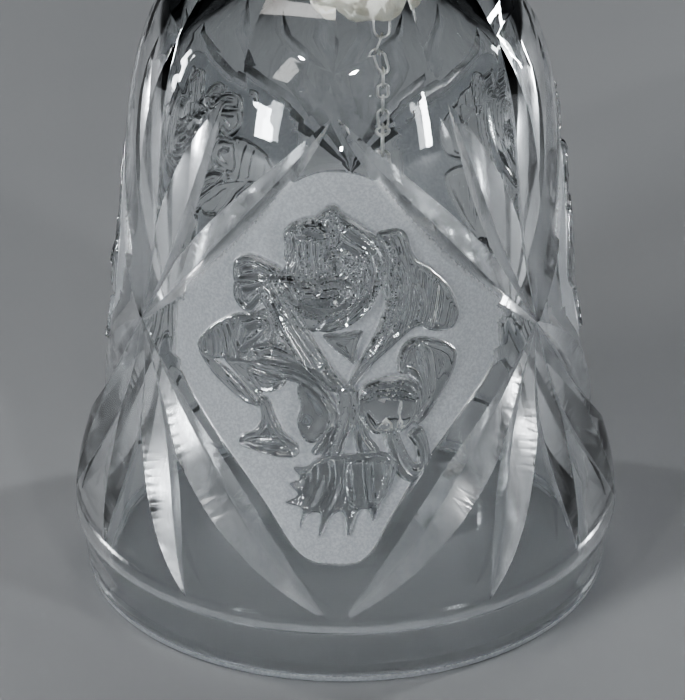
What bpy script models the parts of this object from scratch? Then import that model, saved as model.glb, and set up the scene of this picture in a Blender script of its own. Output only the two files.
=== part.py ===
"""A cut-glass dinner bell: one glass body with a faceted handle, and a bead clapper on a link chain.

Lengths in the tables are in millimetres, and the scene is in metres. +Z is up, the rim stands on
z = 0, and the middle of one rose panel faces -Y. Azimuth 0 is that panel, positive towards +X.
"""

import math

import bmesh
import bpy
import numpy as np
from mathutils import Matrix, Vector

MM = 0.001
REPEATS = 3  # rose panels round the bell, with one star of cuts between each pair
REPEAT_DEG = 360 / REPEATS

# Glass wall, as (height, radius) from the rim up.
OUTER_WALL = (
    (0.5, 36.3), (4.5, 36.8), (8.2, 37.2), (9.1, 37.9), (14.6, 37.5), (20.0, 36.2), (25.0, 34.8),
    (30.0, 33.6), (38.0, 32.3), (47.0, 31.3), (56.0, 30.6), (64.0, 30.1), (71.0, 29.5), (79.0, 28.1),
    (86.0, 25.6), (92.5, 22.0), (98.0, 16.4), (101.0, 11.4), (102.4, 7.0),
)
INNER_WALL = (
    (0.4, 33.6), (9.0, 34.3), (15.0, 33.7), (25.0, 31.1), (38.0, 28.7), (56.0, 27.1), (71.0, 25.9),
    (79.0, 24.3), (86.0, 20.9), (91.0, 15.6), (94.0, 9.8), (95.4, 4.6),
)
INNER_TOP = 95.8
DOME_START = 7  # the row of the inner wall where the dome begins
RIM_FLAT = (34.0, 35.8)  # the ground ring the bell stands on
BODY_SEGMENTS = 48

# Crown facets, as (height, radius across the flats / 2).
CROWN_SIDES = 12
CROWN = ((79.5, 28.3), (84.0, 26.1), (88.0, 23.9), (92.0, 21.3), (96.0, 17.8), (99.0, 14.0),
         (101.2, 10.2), (102.6, 6.4))

# Handle, as (height, radius to the corners). Guessed from bells of this kind.
HANDLE_SIDES = 6
HANDLE = ((99.0, 9.0), (101.6, 8.6), (104.0, 6.8), (107.5, 5.5), (112.0, 6.0), (118.5, 8.0),
          (124.5, 7.2), (129.5, 5.0), (131.5, 5.0), (134.0, 7.6), (138.5, 9.8), (143.5, 9.8),
          (148.5, 7.4), (152.0, 4.2))

# Mitre cuts, from a star out to a tip: (azimuth off the star, tip height, width, depth).
STAR_DEG = 60.0
STAR_Z = 45.8
CUTS = (
    (0.0, 87.0, 6.2, 1.5), (26.0, 83.0, 6.6, 1.6), (59.6, 83.0, 5.6, 1.5), (-26.0, 83.0, 6.6, 1.6),
    (0.0, 12.2, 7.0, 1.6), (26.5, 10.9, 7.4, 1.7), (59.0, 10.8, 7.2, 1.7), (-26.5, 10.9, 7.4, 1.7),
    (-59.6, 83.0, 5.6, 1.5), (-59.0, 10.8, 7.2, 1.7),
)
CUT_STATIONS = 7
CUT_REACH = 0.7  # how far a cutter stands out of the glass, as a share of its depth
STAR_OVERLAP = 0.02  # how far each cut starts behind the star's middle, as a share of its length

# Rose relief on a panel: (along the wall, height, half length, half width, turn in degrees, rise).
ROSE = (
    (0.4, 63.0, 9.0, 8.0, 0.0, 0.8), (0.2, 64.5, 4.6, 4.0, 20.0, 1.5), (12.4, 60.0, 6.6, 3.8, -55.0, 0.7),
    (7.2, 55.6, 7.4, 4.0, 62.0, 0.9), (-10.8, 60.4, 5.2, 3.8, 30.0, 0.7), (-13.8, 53.2, 5.4, 2.8, 12.0, 0.6),
    (-5.2, 52.0, 8.0, 3.4, -42.0, 0.8), (1.4, 45.6, 3.4, 2.2, 80.0, 0.8), (-3.4, 41.4, 5.2, 2.5, -62.0, 0.7),
    (-9.6, 42.8, 6.0, 1.8, -45.0, 0.6), (-8.6, 36.6, 4.2, 1.4, 0.0, 0.6), (7.4, 42.6, 4.2, 3.8, 90.0, 0.9),
    (12.8, 45.0, 5.8, 3.0, 72.0, 0.6), (9.0, 35.4, 3.8, 1.7, -50.0, 0.6), (0.6, 37.4, 5.8, 1.0, 92.0, 0.7),
    (0.8, 28.6, 7.2, 5.2, 0.0, 0.7),
)

PETAL_SIDES = 8
PETAL_RINGS = 4

# Hanger, chain and clapper. The chain hangs a little to one side of the bell's axis.
HANG_X = 5.5
PLUG_X = 3.4
PLUG_RADIUS = 7.2
PLUG_Z = (86.6, 97.0)
FIT_GAP = 0.15
HOOK_WIRE = 0.5
HOOK_HALF_WIDTH = 1.5
HOOK_TOP = 91.5
HOOK_Z = 84.0  # middle of the wire that the first link hangs on
LINKS = 21
WIRE_RESOLUTION = 1
BEND_POINTS = 8
LINK_WIRE = 0.5
LINK_LENGTH = 4.0
LINK_WIDTH = 2.3
LINK_GAP = 0.08
LINK_PITCH = LINK_LENGTH - 2 * LINK_WIRE - LINK_GAP
CLAPPER_Z = HOOK_Z - LINKS * LINK_PITCH
EYE_RADIUS = 1.1
PIN_RADIUS = 0.35
BEAD_RADIUS = 5.5
BEAD_BORE = 0.5
BEAD_TOP_DEG = 80.0  # latitude of the bead's small flats
BEAD_SIDES = 12
CAP_RADIUS = 2.6
CAP_THICK = 0.5
CAP_SIDES = 14
HEAD_RADIUS = 0.9
HEAD_THICK = 0.4


def clear_scene():
    for thing in list(bpy.data.objects):
        bpy.data.objects.remove(thing, do_unlink=True)


def new_collection(name):
    made = bpy.data.collections.new(name)
    bpy.context.scene.collection.children.link(made)
    return made


def new_material(name, colour, roughness, metallic):
    made = bpy.data.materials.new(name)
    made.use_nodes = True
    shader = made.node_tree.nodes["Principled BSDF"]
    shader.inputs["Base Color"].default_value = (*colour, 1.0)
    shader.inputs["Roughness"].default_value = roughness
    shader.inputs["Metallic"].default_value = metallic
    return made


def add_mesh(name, points, faces, home, material=None, smooth=False):
    """An object from points in millimetres."""
    mesh = bpy.data.meshes.new(name)
    mesh.from_pydata([Vector(p) * MM for p in points], [], faces)
    mesh.polygons.foreach_set("use_smooth", [smooth] * len(mesh.polygons))
    if material:
        mesh.materials.append(material)
    made = bpy.data.objects.new(name, mesh)
    home.objects.link(made)
    return made


def hide(thing):
    thing.hide_render = True
    thing.display_type = "WIRE"
    return thing


def curve_through(table, heights):
    """Radii at these heights, on a smooth curve through the table's points."""
    z, r = np.array(table, float).T
    slope = np.gradient(r, z)
    spot = np.clip(np.searchsorted(z, heights, side="right") - 1, 0, len(z) - 2)
    span = z[spot + 1] - z[spot]
    t = (heights - z[spot]) / span
    start = (2 * t**3 - 3 * t**2 + 1) * r[spot] + (t**3 - 2 * t**2 + t) * span * slope[spot]
    end = (3 * t**2 - 2 * t**3) * r[spot + 1] + (t**3 - t**2) * span * slope[spot + 1]
    return start + end


def lathe(name, profile, sides, home, material=None, smooth=False):
    """A solid of revolution by a Screw modifier, from (radius, height) points, top to bottom at +X."""
    points = [(r, 0, z) for r, z in profile]
    edges = [(i, i + 1) for i in range(len(points) - 1)]
    mesh = bpy.data.meshes.new(name)
    mesh.from_pydata([Vector(p) * MM for p in points], edges, [])
    if material:
        mesh.materials.append(material)
    made = bpy.data.objects.new(name, mesh)
    home.objects.link(made)
    turn = made.modifiers.new("Turn", "SCREW")
    turn.steps = sides
    turn.render_steps = sides
    turn.use_merge_vertices = True
    turn.merge_threshold = 0.00001
    turn.use_smooth_shade = smooth
    return made


def on_wall(azimuth_deg, height):
    """(point, outward normal) on the uncut outer wall."""
    step = 0.05
    r = float(curve_through(OUTER_WALL, np.array([height]))[0])
    above = float(curve_through(OUTER_WALL, np.array([height + step]))[0])
    lean = (above - r) / step
    azimuth = math.radians(azimuth_deg)
    out = Vector((math.sin(azimuth), -math.cos(azimuth), 0))
    normal = (out - Vector((0, 0, lean))).normalized()
    return out * r + Vector((0, 0, height)), normal


def mitre_cutter(name, start, end, width, depth, home):
    """A long V-section cutter that swells from a point to its full width and back."""
    points = []
    for i in range(CUT_STATIONS + 1):
        t = i / CUT_STATIONS
        way = t * (1 + STAR_OVERLAP) - STAR_OVERLAP
        azimuth = start[0] + (end[0] - start[0]) * way
        height = start[1] + (end[1] - start[1]) * way
        spot, normal = on_wall(azimuth, height)
        ahead, _ = on_wall(azimuth + (end[0] - start[0]) * 0.01, height + (end[1] - start[1]) * 0.01)
        across = normal.cross(ahead - spot).normalized()
        swell = math.sin(math.pi * t) ** 0.9 if 0 < i < CUT_STATIONS else 0.0
        deep = depth * swell
        half = 0.5 * width * swell * (1 + CUT_REACH)
        if swell == 0.0:
            points.append(spot)
            continue
        points.append(spot - normal * deep)
        points.append(spot + across * half + normal * deep * CUT_REACH)
        points.append(spot + normal * (deep * CUT_REACH + 1.0))
        points.append(spot - across * half + normal * deep * CUT_REACH)
    return hide(add_mesh(name, points, spindle_faces(len(points)), home))


def spindle_faces(count):
    """Faces of a run of four-point rings between two end points."""
    last = count - 1
    faces = []
    for side in range(4):
        faces.append((0, 1 + (side + 1) % 4, 1 + side))
    for ring in range(1, last - 4, 4):
        for side in range(4):
            near = ring + side
            next_near = ring + (side + 1) % 4
            faces.append((near, next_near, next_near + 4))
            faces.append((near, next_near + 4, near + 4))
    for side in range(4):
        faces.append((last, last - 4 + side, last - 4 + (side + 1) % 4))
    return faces


def petal(name, azimuth_deg, shape, home):
    """A flattened ball that stands out of the wall by its rise."""
    along, height, half_long, half_wide, turn, rise = shape
    here = float(curve_through(OUTER_WALL, np.array([height]))[0])
    spot, normal = on_wall(azimuth_deg + math.degrees(along / here), height)
    side = Vector((0, 0, 1)).cross(normal).normalized()
    up = normal.cross(side)
    bpy.ops.mesh.primitive_uv_sphere_add(segments=PETAL_SIDES, ring_count=PETAL_RINGS, radius=1.0)
    ball = bpy.context.object
    ball.name = name
    for owner in list(ball.users_collection):
        owner.objects.unlink(ball)
    home.objects.link(ball)
    frame = Matrix((side, up, normal)).transposed().to_4x4()
    size = Matrix.Diagonal((half_long * MM, half_wide * MM, rise * MM, 1.0))
    turned = Matrix.Rotation(math.radians(turn), 4, "Z")
    ball.data.transform(Matrix.Translation(spot * MM) @ frame @ turned @ size)
    return hide(ball)


def combine(target, operation, name, tool=None, tools=None, solver="EXACT"):
    step = target.modifiers.new(name, "BOOLEAN")
    step.operation = operation
    step.solver = solver
    if tools:
        step.operand_type = "COLLECTION"
        step.collection = tools
    else:
        step.object = tool
    return step


def wall_profile():
    """The glass wall's closed section, from the crown's top down the outside and up the inside."""
    profile = [(0.0, OUTER_WALL[-1][0])]
    profile += [(r, z) for z, r in OUTER_WALL[::-1]]
    profile += [(RIM_FLAT[1], 0.0), (RIM_FLAT[0], 0.0)]
    profile += [(r, z) for z, r in INNER_WALL]
    return profile + [(0.0, INNER_TOP)]


def corner_radii(table, sides):
    """Flat-to-centre radii turned into corner radii."""
    return [(r / math.cos(math.pi / sides), z) for z, r in table]


def crown_cutter(cutters):
    """The ring of space outside the crown's flat facets."""
    low, high = CROWN[0][0], CROWN[-1][0]
    outside = [(0.0, high + 3), (45.0, high + 3), (45.0, low), (0.0, low)]
    ring = hide(lathe("crown_space", outside, BODY_SEGMENTS, cutters))
    inside = corner_radii(CROWN, CROWN_SIDES)[::-1]
    profile = [(0.0, high + 0.001)] + inside + [(inside[-1][0], low - 4), (0.0, low - 4)]
    core = hide(lathe("crown_core", profile, CROWN_SIDES, cutters))
    combine(ring, "DIFFERENCE", "Facets", tool=core)
    return ring


def glass_bell(parts, cutters, material):
    body = lathe("glass_bell", wall_profile(), BODY_SEGMENTS, parts, material, smooth=True)
    roses = new_collection("roses")
    stars = new_collection("stars")
    for turn in range(REPEATS):
        panel = turn * REPEAT_DEG
        for i, shape in enumerate(ROSE):
            petal(f"petal_{turn}_{i}", panel, shape, roses)
        star = panel + STAR_DEG
        for i, (off, tip, width, depth) in enumerate(CUTS):
            mitre_cutter(f"cut_{turn}_{i}", (star, STAR_Z), (star + off, tip), width, depth, stars)
    combine(body, "UNION", "Roses", tools=roses)
    combine(body, "DIFFERENCE", "Crown", tool=crown_cutter(cutters))
    # Thirty cutters that meet at the stars leave open edges with the exact solver, and so does
    # the handle after them.
    combine(body, "DIFFERENCE", "Stars", tools=stars, solver="MANIFOLD")
    profile = [(0.0, HANDLE[-1][0])] + [(r, z) for z, r in HANDLE[::-1]] + [(0.0, HANDLE[0][0])]
    handle = hide(lathe("handle_blank", profile, HANDLE_SIDES, cutters))
    combine(body, "UNION", "Handle", tool=handle, solver="MANIFOLD")
    for helpers in (roses, stars):
        helpers.hide_render = True
    return body


def wire(name, path, radius, home, material, closed=False):
    """A round wire along points in millimetres."""
    line = bpy.data.curves.new(name, "CURVE")
    line.dimensions = "3D"
    line.bevel_depth = radius * MM
    line.bevel_resolution = WIRE_RESOLUTION
    line.use_fill_caps = True
    run = line.splines.new("POLY")
    run.points.add(len(path) - 1)
    for spot, place in zip(run.points, path):
        spot.co = (*(Vector(place) * MM), 1.0)
    run.use_cyclic_u = closed
    run.use_smooth = True
    if material:
        line.materials.append(material)
    made = bpy.data.objects.new(name, line)
    home.objects.link(made)
    return made


def wire_mesh(name, path, radius, home, material, closed=False):
    """The same wire as a mesh object with its caps welded on."""
    line = wire(name, path, radius, home, material, closed)
    graph = bpy.context.evaluated_depsgraph_get()
    mesh = bpy.data.meshes.new_from_object(line.evaluated_get(graph))
    work = bmesh.new()
    work.from_mesh(mesh)
    bmesh.ops.remove_doubles(work, verts=work.verts, dist=0.000001)
    bmesh.ops.recalc_face_normals(work, faces=work.faces)
    work.to_mesh(mesh)
    work.free()
    made = bpy.data.objects.new(name, mesh)
    made.matrix_world = line.matrix_world
    bpy.data.objects.remove(line, do_unlink=True)
    made.name = name
    home.objects.link(made)
    return made


def arc(radius, centre_z, start_deg, end_deg, count):
    """Points of an arc in the XZ plane, counted from +X towards +Z."""
    angles = np.radians(np.linspace(start_deg, end_deg, count))
    return [(radius * math.cos(a), 0.0, centre_z + radius * math.sin(a)) for a in angles]


def hook_path():
    """A staple: up one leg, round the bottom bend and up the other leg."""
    bend_z = HOOK_Z + HOOK_HALF_WIDTH
    bend = arc(HOOK_HALF_WIDTH, bend_z, 180, 360, BEND_POINTS + 3)
    return [(-HOOK_HALF_WIDTH, 0.0, HOOK_TOP)] + bend + [(HOOK_HALF_WIDTH, 0.0, HOOK_TOP)]


def cement_plug(parts, cutters, material):
    """A lump of cement that fills the top of the dome and holds the staple."""
    bpy.ops.mesh.primitive_ico_sphere_add(subdivisions=3, radius=1.0)
    plug = bpy.context.object
    plug.name = "cement_plug"
    for owner in list(plug.users_collection):
        owner.objects.unlink(plug)
    parts.objects.link(plug)
    low, high = PLUG_Z
    for vertex in plug.data.vertices:
        x, y, z = vertex.co
        lump = 1 + 0.05 * math.sin(5 * x + 2 * z) + 0.04 * math.sin(6 * y - 3 * x + 1)
        swell = PLUG_RADIUS * lump * MM
        vertex.co = Vector((x * swell, y * swell, z * 0.5 * (high - low) * lump * MM))
    plug.data.transform(Matrix.Translation(Vector((PLUG_X, 0, 0.5 * (low + high))) * MM))
    plug.data.polygons.foreach_set("use_smooth", [True] * len(plug.data.polygons))
    plug.data.materials.append(material)
    profile = [(0.0, INNER_TOP - FIT_GAP)]
    profile += [(r - FIT_GAP, z - FIT_GAP) for z, r in INNER_WALL[:DOME_START - 1:-1]]
    profile += [(0.0, profile[-1][1])]
    dome = hide(lathe("dome_space", profile, BODY_SEGMENTS, cutters))
    combine(plug, "INTERSECT", "Dome", tool=dome)
    slot_path = [(x, y, z if z < HOOK_TOP else z + FIT_GAP) for x, y, z in hook_path()]
    slot = hide(wire_mesh("hook_slot", slot_path, HOOK_WIRE / 2 + FIT_GAP, cutters, None))
    slot.location = (HANG_X * MM, 0, 0)
    combine(plug, "DIFFERENCE", "Slot", tool=slot)
    return plug


def link_path():
    """A closed stadium in the XZ plane, whose top wire's middle is one wire and a gap above z = 0."""
    bend = (LINK_WIDTH - LINK_WIRE) / 2
    top = LINK_WIRE + LINK_GAP - bend
    bottom = top - (LINK_LENGTH - LINK_WIDTH)
    return arc(bend, top, 0, 180, BEND_POINTS) + arc(bend, bottom, 180, 360, BEND_POINTS)


def chain(parts, material):
    """The links, each with its origin on the wire it hangs from, and each turned a quarter from the last."""
    pattern = wire_mesh("link_pattern", link_path(), LINK_WIRE / 2, parts, material, closed=True)
    mesh = pattern.data
    bpy.data.objects.remove(pattern, do_unlink=True)
    for i in range(LINKS):
        link = bpy.data.objects.new(f"chain_link_{i + 1:02d}", mesh)
        link.location = (HANG_X * MM, 0, (HOOK_Z - i * LINK_PITCH) * MM)
        link.rotation_euler.z = math.radians(90 if i % 2 == 0 else 0)
        parts.objects.link(link)


def at_clapper(thing):
    thing.location = (HANG_X * MM, 0, CLAPPER_Z * MM)
    return thing


def bead_centre():
    """Height of the bead's middle, from the clapper's pivot."""
    eye_bottom = LINK_WIRE + LINK_GAP - 2 * EYE_RADIUS
    return eye_bottom - LINK_WIRE / 2 - CAP_THICK - 2 * FIT_GAP - BEAD_RADIUS


def clapper_pin(parts, cutters, material):
    """A wire pin with a ring at its top and a flat head at its foot."""
    centre = LINK_WIRE + LINK_GAP - EYE_RADIUS
    ring = arc(EYE_RADIUS, centre, -90, 270, 2 * BEND_POINTS + 1)[:-1]
    pin = at_clapper(wire_mesh("clapper_pin", ring, LINK_WIRE / 2, parts, material, closed=True))
    foot = bead_centre() - BEAD_RADIUS - FIT_GAP
    top = centre - EYE_RADIUS
    profile = [(0.0, top), (PIN_RADIUS * 0.7, top), (PIN_RADIUS, top - 0.3), (PIN_RADIUS, foot),
               (HEAD_RADIUS, foot), (HEAD_RADIUS, foot - HEAD_THICK), (0.0, foot - HEAD_THICK)]
    shaft = at_clapper(hide(lathe("pin_shaft", profile, 12, cutters)))
    combine(pin, "UNION", "Shaft", tool=shaft)
    return pin


def bead_profile(centre):
    """A round bead of flat bands, with a bore down its middle."""
    angles = np.radians(np.linspace(BEAD_TOP_DEG, -BEAD_TOP_DEG, 8))
    outside = [(BEAD_RADIUS * math.cos(a), centre + BEAD_RADIUS * math.sin(a)) for a in angles]
    return outside + [(BEAD_BORE, outside[-1][1]), (BEAD_BORE, outside[0][1]), outside[0]]


def cap_profile(centre):
    """A thin dish over the top of the bead, with a hole for the pin."""
    inner = BEAD_RADIUS + FIT_GAP
    outer = inner + CAP_THICK
    edge = math.asin(CAP_RADIUS / outer)
    hole = math.asin(BEAD_BORE / outer)
    bend = np.linspace(hole, edge, 6)
    top = [(outer * math.sin(a), centre + outer * math.cos(a)) for a in bend]
    under = [(inner * math.sin(a), centre + inner * math.cos(a)) for a in bend[::-1]]
    return top + under + [top[0]]


def main():
    clear_scene()
    parts = new_collection("glass_dinner_bell")
    cutters = new_collection("cutters")
    glass = new_material("clear_crystal", (0.92, 0.95, 0.96), 0.03, 0.0)
    cement = new_material("cement", (0.86, 0.82, 0.72), 0.7, 0.0)
    steel = new_material("plated_wire", (0.78, 0.77, 0.74), 0.22, 1.0)
    bead_glass = new_material("bead_crystal", (0.9, 0.93, 0.95), 0.04, 0.0)
    glass_bell(parts, cutters, glass)
    cement_plug(parts, cutters, cement)
    hook = wire("hanger_staple", hook_path(), HOOK_WIRE / 2, parts, steel)
    hook.location = (HANG_X * MM, 0, 0)
    chain(parts, steel)
    clapper_pin(parts, cutters, steel)
    centre = bead_centre()
    at_clapper(lathe("clapper_cap", cap_profile(centre), CAP_SIDES, parts, steel, smooth=True))
    at_clapper(lathe("clapper_bead", bead_profile(centre), BEAD_SIDES, parts, bead_glass))
    cutters.hide_render = True


main()
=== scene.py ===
"""Looks of the cut-glass dinner bell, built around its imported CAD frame."""

import math

import bmesh
import bpy
import numpy as np
from mathutils import Matrix, Vector


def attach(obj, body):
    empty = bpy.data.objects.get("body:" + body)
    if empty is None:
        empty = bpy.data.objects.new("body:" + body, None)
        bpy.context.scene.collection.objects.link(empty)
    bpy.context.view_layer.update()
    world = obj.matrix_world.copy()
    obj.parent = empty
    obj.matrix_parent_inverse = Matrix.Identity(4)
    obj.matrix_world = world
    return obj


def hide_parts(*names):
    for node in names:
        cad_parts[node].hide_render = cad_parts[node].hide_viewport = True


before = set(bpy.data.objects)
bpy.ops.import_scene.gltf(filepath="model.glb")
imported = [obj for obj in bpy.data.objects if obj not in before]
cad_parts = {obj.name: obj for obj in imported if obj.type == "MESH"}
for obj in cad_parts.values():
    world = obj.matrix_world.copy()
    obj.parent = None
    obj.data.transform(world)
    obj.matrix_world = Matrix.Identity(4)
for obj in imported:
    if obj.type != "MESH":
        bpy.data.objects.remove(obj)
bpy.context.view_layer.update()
MM = 0.001

# ---------------------------------------------------------------- the glass wall, in millimetres
OUTER_WALL = (
    (0.9, 36.3), (4.5, 36.75), (7.8, 37.1), (8.6, 37.4), (9.1, 37.9), (9.7, 37.9), (14.6, 37.5),
    (20.0, 36.2), (25.0, 34.8), (30.0, 33.6), (38.0, 32.3), (47.0, 31.3), (56.0, 30.6), (64.0, 30.1),
    (71.0, 29.5), (79.0, 28.1), (86.0, 25.6), (92.5, 22.0), (98.0, 16.4), (101.0, 11.4), (102.4, 7.0),
)
INNER_WALL = (
    (0.4, 33.6), (9.0, 34.3), (15.0, 33.7), (25.0, 31.1), (38.0, 28.7), (56.0, 27.1), (71.0, 25.9),
    (79.0, 24.3), (86.0, 20.9), (91.0, 15.6), (94.0, 9.8), (95.4, 4.6),
)
INNER_TOP = 95.8
GROUND_RIM = ((36.15, 0.45), (35.9, 0.16), (35.5, 0.0), (34.1, 0.0), (33.75, 0.12))  # (radius, height)
RIDGE_Z = 9.1
CROWN_SIDES = 12
CROWN = ((79.5, 28.3), (84.0, 26.1), (88.0, 23.9), (92.0, 21.3), (96.0, 17.8), (99.0, 14.0),
         (101.2, 10.2), (102.6, 6.4))
HANDLE_SIDES = 6
HANDLE = ((99.0, 9.0), (101.6, 8.6), (104.0, 6.8), (107.5, 5.5), (112.0, 6.0), (118.5, 8.0),
          (124.5, 7.2), (129.5, 5.0), (131.5, 5.0), (134.0, 7.6), (138.5, 9.8), (143.5, 9.8),
          (148.5, 7.4), (152.0, 4.2))
PANELS = 3
PANEL_DEG = 360 / PANELS
STAR_DEG = 60.0
STAR_Z = 45.8
# (azimuth off the star, tip height, width, depth)
CUTS = (
    (0.0, 87.0, 6.2, 1.5), (26.0, 83.0, 6.6, 1.6), (59.6, 83.0, 5.6, 1.5), (-26.0, 83.0, 6.6, 1.6),
    (0.0, 12.2, 7.0, 1.6), (26.5, 10.9, 7.4, 1.7), (59.0, 10.8, 7.2, 1.7), (-26.5, 10.9, 7.4, 1.7),
    (-59.6, 83.0, 5.6, 1.5), (-59.0, 10.8, 7.2, 1.7),
)
CUT_STATIONS = 36
CUT_REACH = 0.7  # how far a cutter stands out of the glass, as a share of its depth
STAR_OVERLAP = 0.02  # how far each cut starts behind the star's middle, as a share of its length

# Fine grid over each panel, coarse elsewhere.
FINE_DEG = 42.0
FINE_STEP = 0.36  # degrees
COARSE_STEP = 2.0
RELIEF_Z = (18.5, 77.0)
RELIEF_STEP = 0.19  # millimetres
FIELD_SUNK = 0.12
FLUTE_SPREAD = 1.5  # times a shape's own pitch
FLUTE_GAIN = 1.8  # times a shape's own flute depth
MIDDLE_GAIN = 1.2  # relief height in the panel's middle, falling by SIDE_LOSS towards its sides
SIDE_LOSS = 0.7
FADE_FROM, FADE_TO = 8.0, 18.0
FACET_ANGLE = math.radians(17)
TURNED_ANGLE = math.radians(35)


def curve_through(table, heights):
    """Radii at these heights, on a smooth curve through the table's points."""
    z, r = np.array(table, float).T
    heights = np.asarray(heights, float)
    slope = np.gradient(r, z)
    spot = np.clip(np.searchsorted(z, heights, side="right") - 1, 0, len(z) - 2)
    span = z[spot + 1] - z[spot]
    t = (heights - z[spot]) / span
    start = (2 * t**3 - 3 * t**2 + 1) * r[spot] + (t**3 - 2 * t**2 + t) * span * slope[spot]
    end = (3 * t**2 - 2 * t**3) * r[spot + 1] + (t**3 - t**2) * span * slope[spot + 1]
    return start + end


# ---------------------------------------------------------------- rose drawing on one panel
# Points are (along the wall, height) in millimetres from the panel's middle.
def smooth_line(points, closed, per=6):
    """A Catmull-Rom line through the points."""
    p = np.array(points, float)
    n = len(p)
    spans = n if closed else n - 1
    out = []
    for i in range(spans):
        if closed:
            a, b, c, d = p[(i - 1) % n], p[i], p[(i + 1) % n], p[(i + 2) % n]
        else:
            a, b, c, d = p[max(i - 1, 0)], p[i], p[i + 1], p[min(i + 2, n - 1)]
        for k in range(per):
            t = k / per
            out.append(0.5 * (2 * b + (c - a) * t + (2 * a - 5 * b + 4 * c - d) * t * t
                              + (3 * b - a - 3 * c + d) * t**3))
    if not closed:
        out.append(p[-1])
    return np.array(out)


def distance_to(line, s, z, closed):
    """Shortest distance from each (s, z) to a line of points."""
    ends = np.roll(line, -1, axis=0) if closed else line[1:]
    starts = line if closed else line[:-1]
    best = np.full(s.shape, 1e9)
    for (ax, ay), (bx, by) in zip(starts, ends):
        dx, dy = bx - ax, by - ay
        length = dx * dx + dy * dy + 1e-12
        t = np.clip(((s - ax) * dx + (z - ay) * dy) / length, 0, 1)
        best = np.minimum(best, (s - ax - t * dx) ** 2 + (z - ay - t * dy) ** 2)
    return np.sqrt(best)


def inside(line, s, z):
    """Which points lie inside a closed line."""
    hit = np.zeros(s.shape, bool)
    ends = np.roll(line, -1, axis=0)
    for (ax, ay), (bx, by) in zip(line, ends):
        if ay == by:
            continue
        crosses = (ay > z) != (by > z)
        at = ax + (z - ay) * (bx - ax) / (by - ay)
        hit ^= crosses & (s < at)
    return hit


def depth_inside(line, s, z):
    """Distance to a closed line, positive inside it and negative outside."""
    return distance_to(line, s, z, True) * np.where(inside(line, s, z), 1, -1)


def ramp(x, low, high):
    """A smooth step from 0 at low to 1 at high."""
    t = np.clip((x - low) / (high - low), 0, 1)
    return t * t * (3 - 2 * t)


def shape(outline, rise, lip=0.14, flute=0.0, pitch=1.2, guide=None, crown=0.2):
    """One raised shape. Its flutes run along the guide, or along its own outline if it has none."""
    return {"outline": outline, "rise": rise, "lip": lip, "flute": flute, "pitch": pitch,
            "guide": guide, "crown": crown}


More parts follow.
